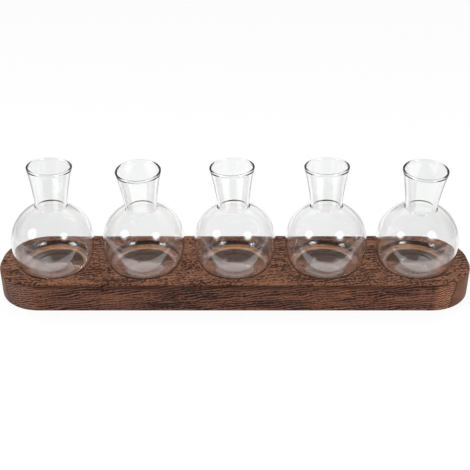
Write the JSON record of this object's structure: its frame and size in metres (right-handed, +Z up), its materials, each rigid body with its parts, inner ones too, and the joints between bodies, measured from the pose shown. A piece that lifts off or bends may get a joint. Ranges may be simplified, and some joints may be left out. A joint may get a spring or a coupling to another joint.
{
  "type": "glass vase with stand",
  "caption": "Row of clear ball-shaped glass bud vases with flared necks, standing in round recesses bored in one long dark wooden tray; each vase lifts out for filling and washing.",
  "frame": {"origin": "middle of the tray's underside", "axes": "+X along the tray, +Y towards its back, +Z up along the vases; the front faces -Y"},
  "size_m": [0.457, 0.093, 0.1304],
  "materials": {
    "wood": "dark brown stain with open grain, satin",
    "glass": "clear blown glass, polished"
  },
  "bodies": {
    "tray": {"wood_tray": "wood"},
    "vase_1": {"glass_vase_1": "glass"},
    "vase_2": {"glass_vase_2": "glass"},
    "vase_3": {"glass_vase_3": "glass"},
    "vase_4": {"glass_vase_4": "glass"},
    "vase_5": {"glass_vase_5": "glass"}
  },
  "joints": [
    {"name": "vase_1_lift", "type": "slide", "parent": "tray", "child": "vase_1", "axis": [0, 0, 1], "range_m": [0, 0.05]},
    {"name": "vase_2_lift", "type": "slide", "parent": "tray", "child": "vase_2", "axis": [0, 0, 1], "range_m": [0, 0.05]},
    {"name": "vase_3_lift", "type": "slide", "parent": "tray", "child": "vase_3", "axis": [0, 0, 1], "range_m": [0, 0.05]},
    {"name": "vase_4_lift", "type": "slide", "parent": "tray", "child": "vase_4", "axis": [0, 0, 1], "range_m": [0, 0.05]},
    {"name": "vase_5_lift", "type": "slide", "parent": "tray", "child": "vase_5", "axis": [0, 0, 1], "range_m": [0, 0.05]}
  ]
}
